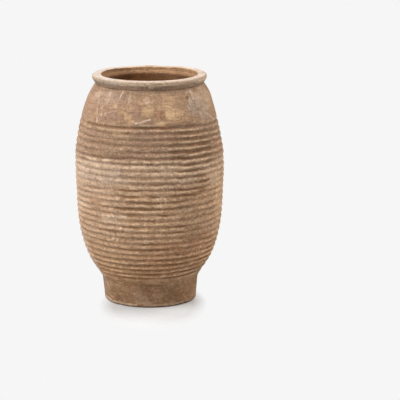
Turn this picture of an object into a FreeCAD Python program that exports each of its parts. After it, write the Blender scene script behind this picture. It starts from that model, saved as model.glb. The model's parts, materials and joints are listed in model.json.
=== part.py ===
import FreeCAD, Part
import math
import os

# A tall ribbed jar of unglazed fired clay, with an open mouth and no lid.
# It is built as a potter builds a jar of this size. A floor disc is thrown first,
# then one ring of clay after another is set on it, shaped on the turntable and left
# to stiffen. The plain shoulder comes next, and the rolled rim last.
# Each of those pieces is a solid of its own. They meet in stepped joints, where the
# inner half of the lower wall stands up inside the piece above.
# The joints between the rings lie at the bottom of a groove, where they don't show.
# Sizes are in millimetres. The jar stands on Z = 0, with its axis on Z.

# Heights
total_height = 760.0
rim_height = 33.0
plain_shoulder_height = 113.0
belly_height = 504.0
foot_height = 80.0
flare_height = 25.0
floor_thickness = 22.0

# Radii of the outer skin, before ribs are raised on it
base_radius = 151.0
foot_top_radius = 158.5
belly_radius = 243.8
neck_radius = 180.5

# Cove that draws the skin in under the rim
neck_cove_height = 47.0
neck_cove_depth = 9.0

# How fast the skin falls away from the belly, as powers of the share of the way
haunch_power = 4.1
shoulder_power = 1.43

# Wall, and the stepped joints in it
wall_thickness = 18.0
lap_height = 6.0
slip_gap = 0.4
lap_wall_share = 0.5

# Ribs, with their number in each ring from below upwards
stage_ribs = (6, 5, 5, 5, 5)
crest_share = 0.5
rib_standing = 1.4
groove_sinking = 2.8
groove_curve_share = 0.36

# Rim
rim_outer_radius = 188.5
mouth_radius = 158.8
rim_under_round = 15.0
rim_edge_round = 7.0
lip_round = 4.0

# Foot
base_edge_round = 6.0
foot_corner_blend = 6.0
floor_cove = 12.0

neck_height = total_height - rim_height
rib_zone_bottom = foot_height + flare_height
rib_zone_top = neck_height - plain_shoulder_height
stage_count = len(stage_ribs)
rib_count = sum(stage_ribs)

# Fineness of the walk along the skin, and spans of a smooth curve
walk_steps = 2000
curve_spans = 6

full_turn = 360.0
litre = 1e6
upwards = FreeCAD.Vector(0, 0, 1)
outwards = FreeCAD.Vector(1, 0, 0)


def cove_share(height):
    """How far up the neck's cove a height is, as a share of the cove."""
    return max(0, (height - neck_height + neck_cove_height) / neck_cove_height)


def skin_radius(height):
    """Outer radius of the smooth skin at a height on the belly or the shoulder."""
    if height >= belly_height:
        share = (height - belly_height) / (neck_height - belly_height)
        fall = (belly_radius - neck_radius - neck_cove_depth) * share**shoulder_power
        return belly_radius - fall - neck_cove_depth * cove_share(height) ** 2
    share = (belly_height - height) / (belly_height - foot_height)
    return belly_radius - (belly_radius - foot_top_radius) * share**haunch_power


def skin_slope(height):
    """Change of the skin's radius with height."""
    if height >= belly_height:
        rise = neck_height - belly_height
        share = (height - belly_height) / rise
        fall = (belly_radius - neck_radius - neck_cove_depth) * shoulder_power / rise
        cove = 2 * neck_cove_depth / neck_cove_height * cove_share(height)
        return -fall * share ** (shoulder_power - 1) - cove
    rise = belly_height - foot_height
    share = (belly_height - height) / rise
    return (belly_radius - foot_top_radius) * haunch_power / rise * share ** (haunch_power - 1)


def foot_radius(height):
    """Outer radius of the tapered foot."""
    return base_radius + (foot_top_radius - base_radius) * height / foot_height


def inner_radius(height):
    """Inner radius of the wall, which is wall_thickness thick square to its slope."""
    if height <= foot_height:
        return foot_radius(height) - wall_thickness
    height = min(height, neck_height)
    return skin_radius(height) - wall_thickness * math.hypot(1, skin_slope(height))


def point(radius, height):
    """A point of a profile, which lies in the plane of X and Z."""
    return FreeCAD.Vector(radius, 0, height)


def skin_point(height, raised=0.0):
    """A point of the skin, moved out by raised, square to the skin."""
    square = point(1, -skin_slope(height)).normalize()
    return point(skin_radius(height), height) + square * raised


def up_skin(height):
    """Direction up along the skin."""
    return point(skin_slope(height), 1).normalize()


def walk_up_skin():
    """Heights in small steps from the foot to the neck, and the length walked to each."""
    step = (neck_height - foot_height) / walk_steps
    heights = [foot_height + step * i for i in range(walk_steps + 1)]
    lengths = [0.0]
    for lower, upper in zip(heights, heights[1:]):
        climb = math.hypot(upper - lower, skin_radius(upper) - skin_radius(lower))
        lengths.append(lengths[-1] + climb)
    return heights, lengths


def read_off(value, known, wanted):
    """The entry of wanted that goes with value in known, where both lists rise."""
    i = next((n for n in range(1, len(known)) if known[n] > value), len(known) - 1)
    share = (value - known[i - 1]) / (known[i] - known[i - 1])
    return wanted[i - 1] + (wanted[i] - wanted[i - 1]) * share


skin_heights, skin_lengths = walk_up_skin()
ribs_start = read_off(rib_zone_bottom, skin_heights, skin_lengths)
ribs_end = read_off(rib_zone_top, skin_heights, skin_lengths)
rib_pitch = (ribs_end - ribs_start) / rib_count


def rib_height(ribs):
    """Height of the place that is so many rib pitches above the lowest groove."""
    return read_off(ribs_start + rib_pitch * ribs, skin_lengths, skin_heights)


def ribs_below(stage):
    """Number of ribs under a ribbed stage."""
    return sum(stage_ribs[:stage])


def groove_point(groove):
    """Bottom of a groove, counted from the lowest one."""
    return skin_point(rib_height(groove), -groove_sinking)


def line(start, end):
    return Part.LineSegment(start, end).toShape()


def arc_along(start, end, tangent):
    """Arc from start to end that leaves start along the tangent."""
    chord = end - start
    half_turn = tangent.getAngle(chord) / 2
    towards = tangent - chord * (tangent.dot(chord) / chord.dot(chord))
    bulge = chord.Length / 2 * math.tan(half_turn)
    return Part.Arc(start, (start + end) / 2 + towards.normalize() * bulge, end).toShape()


def wave(start, end, tangent, start_share):
    """Two arcs in an S from start to end, which leave both ends along the tangent."""
    meeting = start + (end - start) * start_share
    return [arc_along(start, meeting, tangent), arc_along(end, meeting, -tangent)]


def smooth_curve(radius_at, low, high):
    """Smooth upward curve through points at the radius that a function gives for each height."""
    rise = (high - low) / curve_spans
    heights = [low + rise * i for i in range(curve_spans + 1)]
    curve = Part.BSplineCurve()
    curve.interpolate([point(radius_at(height), height) for height in heights])
    return curve.toShape()


def rib_edges(groove):
    """Outline of the rib between one groove and the next, bottom to bottom."""
    low, high = groove_point(groove), groove_point(groove + 1)
    crest = skin_point(rib_height(groove + crest_share), rib_standing)
    climb = high - low
    rising = wave(low, crest, climb, groove_curve_share)
    falling = wave(high, crest, -climb, groove_curve_share)
    return rising + falling[::-1]


def turned(edges):
    """Solid of one profile turned about the jar's axis."""
    face = Part.Face(Part.Wire(edges))
    return face.revolve(FreeCAD.Vector(), upwards, full_turn)


class Joint:
    """A stepped joint at a height, between a piece and the one that stands on it."""

    def __init__(self, height, outer):
        self.outer = outer
        self.step_radius = outer.x - (outer.x - inner_radius(height)) * lap_wall_share
        self.low = height
        self.high = height + lap_height
        self.inner = point(inner_radius(self.high), self.high)

    def top_of_lower(self):
        """Edges from the outer skin in to the inner wall, over the lower piece's raised step."""
        upright = self.step_radius - slip_gap
        corners = [self.outer, point(upright, self.low), point(upright, self.high), self.inner]
        return [line(a, b) for a, b in zip(corners, corners[1:])]

    def foot_of_upper(self):
        """Edges from the inner wall out to the outer skin, under the upper piece."""
        corners = [
            self.inner,
            point(self.step_radius, self.high),
            point(self.step_radius, self.low),
            self.outer,
        ]
        return [line(a, b) for a, b in zip(corners, corners[1:])]


def stage_joint(stage):
    """Joint at the foot of a ribbed stage, at the bottom of a groove."""
    groove = groove_point(ribs_below(stage))
    return Joint(groove.z, groove)


def floor_joint():
    """Joint between the floor disc and the foot, whose step is as high as the floor."""
    height = floor_thickness - lap_height
    return Joint(height, point(foot_radius(height), height))


def neck_joint():
    return Joint(neck_height, point(neck_radius, neck_height))


def base_disc():
    """Floor slab. Its outer edge is rebated, and the foot stands in the rebate."""
    joint = floor_joint()
    step = point(joint.step_radius - slip_gap, joint.low)
    edge_start = point(base_radius - base_edge_round, 0)
    edge_end = point(foot_radius(base_edge_round), base_edge_round)
    edges = [
        line(point(0, 0), edge_start),
        arc_along(edge_start, edge_end, outwards),
        line(edge_end, joint.outer),
        line(joint.outer, step),
        line(step, point(step.x, floor_thickness)),
        line(point(step.x, floor_thickness), point(0, floor_thickness)),
        line(point(0, floor_thickness), point(0, 0)),
    ]
    return turned(edges)


def foot_band():
    """Plain tapered foot and the flare above it, up to the lowest groove."""
    below, above = floor_joint(), stage_joint(0)
    corner = point(foot_top_radius, foot_height)
    up_foot = (corner - below.outer).normalize()
    blend_start = corner - up_foot * foot_corner_blend
    blend_end = skin_point(foot_height + foot_corner_blend)
    flare_top = skin_point(rib_height(-crest_share))
    cove_foot = point(inner_radius(floor_thickness) - floor_cove, floor_thickness)
    cove_top_height = floor_thickness + floor_cove
    cove_top = point(inner_radius(cove_top_height), cove_top_height)
    inner_corner = point(inner_radius(foot_height), foot_height)
    down_skin = -up_skin(rib_height(-crest_share / 2))
    falling = wave(above.outer, flare_top, down_skin, groove_curve_share)
    edges = [
        line(below.outer, blend_start),
        arc_along(blend_start, blend_end, up_foot),
        smooth_curve(skin_radius, blend_end.z, flare_top.z),
        *falling[::-1],
        *above.top_of_lower(),
        line(above.inner, inner_corner),
        line(inner_corner, cove_top),
        line(cove_top, cove_foot),
        line(cove_foot, point(below.step_radius, floor_thickness)),
        line(point(below.step_radius, floor_thickness), point(below.step_radius, below.low)),
        line(point(below.step_radius, below.low), below.outer),
    ]
    return turned(edges)


def belly_stage(stage):
    """One ribbed ring of the belly, from a groove bottom to a groove bottom."""
    below, above = stage_joint(stage), stage_joint(stage + 1)
    numbers = range(ribs_below(stage), ribs_below(stage + 1))
    ribs = [edge for rib in numbers for edge in rib_edges(rib)]
    edges = [
        *ribs,
        *above.top_of_lower(),
        smooth_curve(inner_radius, below.inner.z, above.inner.z),
        *below.foot_of_upper(),
    ]
    return turned(edges)


def shoulder_band():
    """Plain ring between the ribs and the neck."""
    below, above = stage_joint(stage_count), neck_joint()
    skin_start = skin_point(rib_height(rib_count + crest_share))
    climb = up_skin(rib_height(rib_count + crest_share / 2))
    edges = [
        *wave(below.outer, skin_start, climb, groove_curve_share),
        smooth_curve(skin_radius, skin_start.z, neck_height),
        *above.top_of_lower(),
        line(above.inner, point(above.inner.x, neck_height)),
        smooth_curve(inner_radius, below.inner.z, neck_height),
        *below.foot_of_upper(),
    ]
    return turned(edges)


def rim_collar():
    """Rolled rim, which overhangs the neck and is flat on top."""
    below = neck_joint()
    face_foot = point(rim_outer_radius, neck_height + rim_under_round)
    face_top = point(rim_outer_radius, total_height - rim_edge_round)
    top_outer = point(rim_outer_radius - rim_edge_round, total_height)
    top_inner = point(mouth_radius + lip_round, total_height)
    lip = point(mouth_radius, total_height - lip_round)
    edges = [
        arc_along(face_foot, below.outer, -upwards),
        line(face_foot, face_top),
        arc_along(face_top, top_outer, upwards),
        line(top_outer, top_inner),
        arc_along(top_inner, lip, -outwards),
        line(lip, below.inner),
        *below.foot_of_upper(),
    ]
    return turned(edges)


def main():
    pieces = {"base_disc": base_disc(), "foot_band": foot_band()}
    for stage in range(stage_count):
        pieces[f"belly_stage_{stage + 1}"] = belly_stage(stage)
    pieces["shoulder_band"] = shoulder_band()
    pieces["rim_collar"] = rim_collar()

    os.makedirs("parts", exist_ok=True)
    for name, solid in pieces.items():
        solid.exportStep(f"parts/{name}.step")
        print(f"{name}: {solid.ShapeType}, valid {solid.isValid()}, {solid.Volume / litre:.3f} litres")


main()
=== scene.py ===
import json
import math
from itertools import product

import bpy
import numpy as np
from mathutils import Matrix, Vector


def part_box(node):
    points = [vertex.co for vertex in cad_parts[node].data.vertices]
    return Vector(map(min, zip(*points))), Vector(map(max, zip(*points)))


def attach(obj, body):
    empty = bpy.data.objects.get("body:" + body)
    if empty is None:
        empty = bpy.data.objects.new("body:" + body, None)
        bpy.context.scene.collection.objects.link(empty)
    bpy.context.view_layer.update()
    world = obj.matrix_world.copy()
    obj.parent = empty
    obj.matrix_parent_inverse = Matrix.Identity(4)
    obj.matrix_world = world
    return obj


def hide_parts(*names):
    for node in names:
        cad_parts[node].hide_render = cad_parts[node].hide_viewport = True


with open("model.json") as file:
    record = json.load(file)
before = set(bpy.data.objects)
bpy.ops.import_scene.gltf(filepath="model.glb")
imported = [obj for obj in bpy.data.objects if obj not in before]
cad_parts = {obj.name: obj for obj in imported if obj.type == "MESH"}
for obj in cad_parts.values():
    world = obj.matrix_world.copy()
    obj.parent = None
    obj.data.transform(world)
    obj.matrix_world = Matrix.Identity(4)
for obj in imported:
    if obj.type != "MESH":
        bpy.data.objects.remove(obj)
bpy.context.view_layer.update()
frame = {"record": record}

# A tall ribbed jar of unglazed fired clay, dressed piece by piece over its solids.
# Sizes are in metres. The jar stands on Z = 0 with its axis on Z, and its front faces -Y.
# An angle is counted in degrees around the jar from its front, to the right.
# A patch is listed as its angle, height, half width in degrees, half height and strength.

# Sizes that the solids give
rim_low, rim_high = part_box("rim_collar")
total_height = rim_high.z
neck_height = rim_low.z
rim_outer_radius = rim_high.x
floor_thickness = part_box("base_disc")[1].z

# Sizes of the jar's section
plain_shoulder_height = 0.113
belly_height = 0.504
foot_height = 0.080
flare_height = 0.025
base_radius = 0.151
foot_top_radius = 0.1585
belly_radius = 0.2438
neck_radius = 0.1805
neck_cove_height = 0.047
neck_cove_depth = 0.009
mouth_radius = 0.1588
haunch_power = 4.1
haunch_rise = belly_height - foot_height
haunch_fall = belly_radius - foot_top_radius
shoulder_power = 1.43
shoulder_rise = neck_height - belly_height
shoulder_fall = belly_radius - neck_radius - neck_cove_depth
wall_thickness = 0.018
lap_height = 0.006
slip_gap = 0.0004
lap_wall_share = 0.5
rim_under_round = 0.015
rim_edge_round = 0.007
lip_round = 0.004
base_edge_round = 0.006
foot_corner_blend = 0.006
floor_cove = 0.012

# Ribs, with their number in each ring from below upwards
stage_ribs = (6, 5, 5, 5, 5)
rib_standing = 0.0014
groove_sinking = 0.0028
rib_count = sum(stage_ribs)
rib_zone_bottom = foot_height + flare_height
rib_zone_top = neck_height - plain_shoulder_height
# How narrow the crests are at the lowest rib, at the top one, and where they are sharpest
low_sharpness = 2.0
high_sharpness = 1.3
sharp_sharpness = 3.2
# How far the ribs and the rim lie above an even pitch: height, drift
drifts = (
    (0.105, -0.001),
    (0.15, -0.004),
    (0.3, -0.004),
    (0.38, -0.002),
    (0.44, -0.001),
    (0.49, 0.002),
    (0.56, 0.001),
    (0.614, -0.001),
    (0.7, 0),
    (0.738, 0.0015),
    (0.76, -0.0024),
)

# Finger marks on the inner wall
finger_pitch = 0.026
finger_depth = 0.0008

# Fineness of the turned forms
turn_steps = 768
rows_per_rib = 13
skin_row = 0.0016
inner_row = 0.004
round_rows = 6
merge_distance = 1e-6
sharp_edge_angle = math.radians(55)

# Unevenness of the hand: size of the lumps, height of the lumps
sway = (0.14, 0.0010)
rib_wander = (0.075, 0.0012)
lumps = (0.030, 0.0004)
grit = (0.011, 0.00022)
sand = (0.0045, 0.00010)
# Below this height the foot stands still and flat
still_height = 0.030
# Slip of the ribs up and down: size of the lumps, share of the pitch
slip_size = 0.030
slip_share = 0.07
# Lean of the jar to the right, and swelling of its skin: height, distance
leans = (
    (0, 0),
    (0.1, -0.0012),
    (0.45, -0.0008),
    (0.6, -0.0024),
    (0.66, -0.0016),
    (0.7, 0),
)
swells = (
    (0.08, 0),
    (0.1, -0.0036),
    (0.19, -0.0024),
    (0.3, 0),
    (0.388, -0.0006),
    (0.46, 0.0022),
    (0.508, 0.0002),
    (0.556, -0.0016),
    (0.64, 0.001),
    (0.7, -0.0002),
    (0.722, -0.0014),
    (0.733, -0.0044),
    (0.74, -0.0022),
    (0.744, 0.0004),
    (0.75, 0.0008),
    (0.76, 0),
)

# How far the rings rise at the jar's left and right, and slide along the skin: height, left, right
tilts = (
    (0.08, 0, 0),
    (0.1, 0, 0.006),
    (0.13, 0, 0.0085),
    (0.16, 0, 0.006),
    (0.21, 0, 0.001),
    (0.3, 0, 0.001),
    (0.34, -0.004, 0),
    (0.38, -0.008, 0),
    (0.44, -0.011, -0.005),
    (0.47, -0.007, -0.007),
    (0.5, -0.008, -0.009),
    (0.53, -0.011, -0.009),
    (0.56, -0.004, -0.008),
    (0.6, -0.002, -0.009),
    (0.66, 0, 0),
)
# Patches where the rings and the rim lie lower, with the depth as their strength
dips = (
    (38, 0.465, 15, 0.075, 0.0026),
    (-28, 0.529, 14, 0.012, 0.004),
    (-172, 0.77, 38, 0.03, 0.0024),
)
# How clearly the ribs' pale crests and dark grooves are painted around the jar, partly as painted
# highlight and shade, stronger away from the key light: angle, clearness
rib_shade_contrast = (
    (-180, 0.45),
    (-80, 0.18),
    (-45, 0.26),
    (-18, 0.5),
    (12, 0.44),
    (50, 0.48),
    (75, 0.42),
    (180, 0.45),
)
# Patches where ribs are worn, sharp, or battered and broken up
worn_ribs = (
    (-32, 0.428, 10, 0.016, 1),
    (-66, 0.428, 12, 0.026, 0.8),
    (61, 0.434, 8, 0.024, 1),
    (-47, 0.352, 7, 0.024, 0.6),
    (-32, 0.316, 9, 0.01, 0.9),
    (42, 0.385, 12, 0.016, 0.5),
    (42, 0.29, 14, 0.07, 0.5),
    (-2, 0.243, 3, 0.008, 0.8),
    (-34, 0.528, 16, 0.01, 0.8),
    (-24, 0.57, 22, 0.03, 0.3),
    (8, 0.572, 24, 0.036, 0.4),
    (62, 0.12, 12, 0.03, 0.2),
    (20, 0.365, 12, 0.04, 0.3),
    (82, 0.34, 18, 0.12, 0.4),
    (140, 0.4, 16, 0.03, 0.8),
    (-130, 0.52, 12, 0.02, 0.7),
    (175, 0.25, 18, 0.03, 0.5),
)
sharp_ribs = (
    (38, 0.53, 20, 0.085, 1),
    (8, 0.47, 30, 0.04, 0.5),
    (-4, 0.355, 20, 0.03, 0.5),
    (20, 0.15, 36, 0.045, 0.8),
    (64, 0.15, 15, 0.045, 0.9),
    (-150, 0.53, 30, 0.06, 0.8),
    (110, 0.3, 30, 0.09, 0.5),
)
battered_ribs = (
    (20, 0.22, 75, 0.34, 1),
    (52, 0.57, 18, 0.06, 0.9),
    (-80, 0.25, 60, 0.34, 0.35),
    (160, 0.3, 90, 0.3, 0.8),
)
# Sizes of the lumps in the wear of the ribs
worn_edge_size = 0.025
long_dash_size = 0.036
short_dash_size = 0.014
depth_size = 0.060
chip_size = 0.016
# How much finer the slip and the dashes are up and down than along the ribs
along_ribs = (1, 1, 2.5)
# Shares of a rib's height, and of its clearness, that the wear takes or adds
worn_edge_share = 0.3
worn_share = 0.8
least_depth_share = 0.95
depth_share = 0.15
dash_depth_share = 0.2
sharp_depth_share = 0.2
dash_clear_share = 0.9
sharp_clear_share = 0.35
broken_share = 0.12
# Random value over which chips appear, and the share of a crest over which they do
chip_span = (0.25, 0.6)
chip_crest_shares = (0.5, 0.9)
# How far past the outermost grooves their dip and their colour reach, as shares of the pitch
last_dip_share = 0.5
last_tint_share = 0.9
# How far a mark reaches up and down a crest or a groove, as shares of the pitch, and its strength
crest_reach_share = 0.4
groove_reach_share = 0.26
mark_share = 0.8
# Marks on single ribs, partly paler or darker clay and partly painted highlight on crests and painted
# shade in grooves: angle, half the width in degrees, ribs up from the lowest groove to a crest or a
# groove, and how much paler or, below 0, darker it is
rib_marks_and_painted_light = (
    (-45, 8, 20.5, 0.3),
    (-33, 4, 20.5, 0.3),
    (8, 20, 20.5, 0.4),
    (30, 14, 20.5, 0.3),
    (8, 18, 26, -0.7),
    (38, 14, 20.5, 0.5),
    (43, 8, 21.5, 0.4),
    (-40, 34, 19.5, 0.35),
    (-4, 13, 19.5, 0.95),
    (18, 14, 19.5, 0.5),
    (10, 24, 18.5, 0.45),
    (-10, 8, 16.5, 0.3),
    (-10, 7, 15.5, 0.25),
    (-63, 9, 12.5, 0.35),
    (-2, 9, 12.5, 0.35),
    (-28, 9, 11.5, 0.3),
    (-34, 12, 5.5, 0.3),
    (54, 8, 4.5, 0.4),
    (-40, 8, -0.5, 0.3),
    (-20, 9, -0.5, 0.25),
    (8, 12, -0.5, 0.3),
    (38, 6, -0.5, 0.6),
    (36, 14, 0.5, 0.5),
    (34, 14, 1.5, 0.4),
    (34, 14, 2.5, 0.3),
    (-22, 14, 0.5, 0.4),
    (20, 12, 0.5, 0.3),
    (-22, 13, 0, -0.45),
    (56, 12, 0, -0.6),
    (56, 10, -0.5, 0.4),
    (30, 16, 0, -0.7),
    (4, 12, 1, -0.4),
    (42, 9, 1, -0.5),
    (-38, 12, 23.5, -0.3),
    (-26, 18, 21.5, -0.35),
    (-55, 9, 17.5, -0.2),
    (-45, 8, 13.5, -0.3),
    (-44, 7, 12.5, -0.5),
    (46, 8, 15.5, -0.4),
    (44, 10, 11.5, -0.3),
    (36, 14, 9.5, -0.3),
    (40, 10, 7.5, -0.4),
    (-8, 20, 13, -1.1),
    (24, 14, 13, -0.65),
    (-14, 8, 15, -0.7),
    (3, 4, 15, -0.6),
    (30, 14, 15, -0.7),
    (-14, 9, 16, -0.5),
    (36, 16, 16, -0.7),
    (2, 6, 14, -0.7),
    (-10, 4, 14, -0.5),
    (22, 12, 14, -0.4),
    (48, 7, 17, -0.6),
    (-14, 4, 12, -0.6),
    (12, 5, 12, -0.5),
    (44, 7, 18, -0.6),
    (34, 12, 19, -0.5),
    (34, 9, 20, -0.5),
    (36, 14, 22, -0.4),
    (50, 8, 23, -0.4),
    (0, 9, 7, -0.5),
    (-12, 5, 10, -0.5),
    (27, 6, 10, -0.4),
    (-30, 7, 9, -0.5),
    (27, 6, 9, -0.4),
    (3, 22, 6, -0.4),
    (-64, 7, 18, 0.4),
    (63, 7, 14, 0.3),
)
# Patches chipped off the rim and the foot, and their depth
rim_chips = (
    (2, 0.742, 3.5, 0.006, 1),
    (10, 0.746, 5, 0.004, 0.7),
    (-4, 0.738, 2.5, 0.004, 0.6),
    (21, 0.74, 4, 0.004, 0.6),
    (-38, 0.756, 3, 0.003, 0.5),
    (63, 0.75, 4, 0.004, 0.6),
    (150, 0.748, 5, 0.006, 0.9),
    (-115, 0.755, 4, 0.004, 0.7),
)
rim_chip_depth = 0.0022
foot_chips = (
    (-40, 0.004, 6, 0.006, 0.8),
    (12, 0.003, 4, 0.004, 0.6),
    (48, 0.003, 7, 0.005, 0.7),
    (-12, 0.003, 3, 0.004, 0.5),
    (120, 0.005, 8, 0.007, 0.9),
    (-140, 0.003, 6, 0.005, 0.8),
)
foot_chip_depth = 0.0018
# Size and share of the ragged edges of the chips
chip_edge_size = 0.008
chip_edge_share = 0.35

# Where patches, marks and scratches end and where they are full, as shares of half their width
patch_edge_shares = (1.12, 0.86)
mark_edge_shares = (1.25, 0.35)
scratch_edge_shares = (1.6, 0.6)
# Ragged edges of the stains: size of the lumps, share, shift of the random values
stain_edges = (
    (0.022, 0.25, 2),
    (0.009, 0.20, 4),
    (0.0045, 0.12, 8),
)

# Clay colours
# Dark brown of the painted contact shadow
shadow_brown = (0.060, 0.034, 0.018)
umber = (0.150, 0.073, 0.031)
brown = (0.225, 0.121, 0.060)
russet = (0.365, 0.192, 0.090)
ember = (0.450, 0.245, 0.130)
coral = (0.490, 0.295, 0.155)
tan = (0.400, 0.244, 0.143)
buff = (0.332, 0.204, 0.121)
fawn = (0.279, 0.171, 0.107)
sandy = (0.440, 0.294, 0.196)
cream = (0.600, 0.440, 0.310)
chaff = (0.600, 0.415, 0.265)
straw = (0.620, 0.405, 0.235)
chalk = (0.680, 0.540, 0.440)
beige = (0.390, 0.290, 0.215)
dust = (0.430, 0.335, 0.268)
ash = (0.430, 0.315, 0.240)
ochre = (0.440, 0.275, 0.155)
mauve = (0.300, 0.180, 0.118)
plum = (0.205, 0.128, 0.098)
slate = (0.330, 0.252, 0.200)
frost = (0.430, 0.362, 0.318)
rust = (0.440, 0.215, 0.108)
# The jar's own tone at each height
tones = (
    (0.000, brown),
    (0.080, brown),
    (0.087, russet),
    (0.230, tan),
    (0.400, tan),
    (0.440, sandy),
    (0.485, sandy),
    (0.510, fawn),
    (0.618, fawn),
    (0.636, buff),
    (0.705, buff),
    (0.760, beige),
)
# Patches of the stains, some of them painted shade
all_round = 720
ochre_patches = (
    (24, 0.655, 9, 0.019, 1),
    (18, 0.698, 7, 0.022, 0.6),
    (0, 0.67, 6, 0.019, 1),
    (-23, 0.668, 3, 0.008, 0.6),
    (-20, 0.657, 3, 0.009, 0.7),
    (-17, 0.646, 3.2, 0.01, 0.9),
    (-14, 0.632, 3, 0.01, 0.8),
    (9, 0.705, 3, 0.01, 0.8),
    (40, 0.082, 20, 0.012, 0.35),
    (14, 0.095, 18, 0.013, 0.45),
    (-58, 0.072, 9, 0.016, 0.45),
    (22, 0.632, 16, 0.007, 0.5),
    (34, 0.65, 6, 0.01, 0.5),
    (66, 0.69, 5, 0.006, 0.5),
    (-55, 0.65, 5, 0.024, 0.4),
    (-44, 0.476, 8, 0.008, 0.3),
    (-46, 0.457, 8, 0.005, 0.5),
    (-25, 0.597, 10, 0.012, 0.4),
    (-21, 0.388, 4, 0.005, 0.6),
    (-8, 0.385, 7, 0.005, 0.5),
    (6, 0.306, 5, 0.006, 0.5),
    (-12, 0.018, 6, 0.007, 0.5),
    (140, 0.66, 20, 0.03, 0.7),
    (-120, 0.68, 14, 0.022, 0.6),
)
straw_patches = (
    (20, 0.659, 4.5, 0.02, 0.7),
    (28, 0.657, 4, 0.008, 0.5),
    (-15.5, 0.645, 2, 0.006, 0.4),
    (0, 0.674, 5, 0.014, 0.4),
    (-4, 0.689, 4, 0.0035, 0.6),
    (2, 0.693, 4, 0.0035, 0.6),
    (11.5, 0.627, 4.5, 0.006, 0.7),
    (10, 0.2, 6, 0.012, 0.35),
    (10, 0.29, 5, 0.05, 0.3),
    (9, 0.378, 5, 0.026, 0.35),
    (71, 0.365, 10, 0.085, 0.45),
    (13, 0.678, 6, 0.006, 0.5),
    (18, 0.282, 14, 0.036, 0.25),
    (70, 0.28, 9, 0.05, 0.35),
    (44, 0.178, 7, 0.024, 0.5),
    (60, 0.19, 5, 0.016, 0.3),
    (-66, 0.17, 6, 0.016, 0.4),
)
mauve_patches = (
    (-9.5, 0.661, 4.5, 0.019, 1),
    (-13, 0.693, 4, 0.012, 0.7),
    (12.5, 0.654, 3, 0.014, 1),
    (7.8, 0.659, 2.2, 0.009, 0.8),
    (-34, 0.642, 11, 0.02, 1),
    (-45, 0.63, 7, 0.012, 0.6),
    (-20, 0.69, 6, 0.014, 0.4),
    (-30, 0.28, 12, 0.02, 0.3),
    (-27, 0.69, 9, 0.022, 0.6),
    (-4, 0.622, 9, 0.01, 0.9),
    (10, 0.702, 4.5, 0.013, 0.7),
    (-68, 0.672, 16, 0.06, 0.85),
    (-45, 0.69, 12, 0.03, 0.6),
    (-62, 0.565, 14, 0.05, 0.25),
    (-38, 0.268, 4, 0.018, 0.4),
    (-24, 0.282, 3, 0.016, 0.3),
    (-56, 0.595, 7, 0.014, 0.4),
    (3, 0.596, 12, 0.018, 1),
    (12, 0.58, 9, 0.008, 0.5),
    (-40, 0.585, 14, 0.014, 0.35),
    (-15, 0.372, 3, 0.009, 0.7),
    (-24, 0.505, 3, 0.006, 0.5),
    (-10, 0.045, 9, 0.014, 0.25),
    (-66, 0.636, 8, 0.02, 0.35),
    (170, 0.67, 12, 0.024, 0.6),
    (100, 0.64, 12, 0.018, 0.5),
)
plum_patches = (
    (-9, 0.619, 4, 0.009, 0.9),
    (0, 0.622, 7, 0.009, 0.8),
    # Painted shade under the rim's front, where it curls in, in the next five patches
    (-8, 0.7255, 9, 0.004, 0.35),
    (12, 0.7245, 12, 0.004, 0.35),
    (-7.5, 0.7365, 4, 0.0055, 0.75),
    (13, 0.7375, 6.5, 0.0055, 0.65),
    (2.5, 0.7305, 2, 0.002, 0.8),
    (-43, 0.028, 4, 0.008, 0.6),
    (-120, 0.64, 10, 0.012, 0.5),
)
slate_patches = (
    (46, 0.672, 9, 0.034, 0.6),
    (56, 0.65, 8, 0.02, 0.4),
    (-50, 0.744, 6, 0.005, 0.5),
    (-52, 0.746, 30, 0.007, 0.85),
    # Painted shade under the rim's front, in the next two patches
    (-12, 0.736, 4, 0.0025, 0.6),
    (9, 0.733, 9, 0.005, 0.5),
    (-5, 0.618, 7, 0.008, 0.4),
    (27, 0.621, 7, 0.006, 0.4),
    (-90, 0.7, 14, 0.02, 0.4),
    (150, 0.56, 18, 0.03, 0.4),
)
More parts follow.
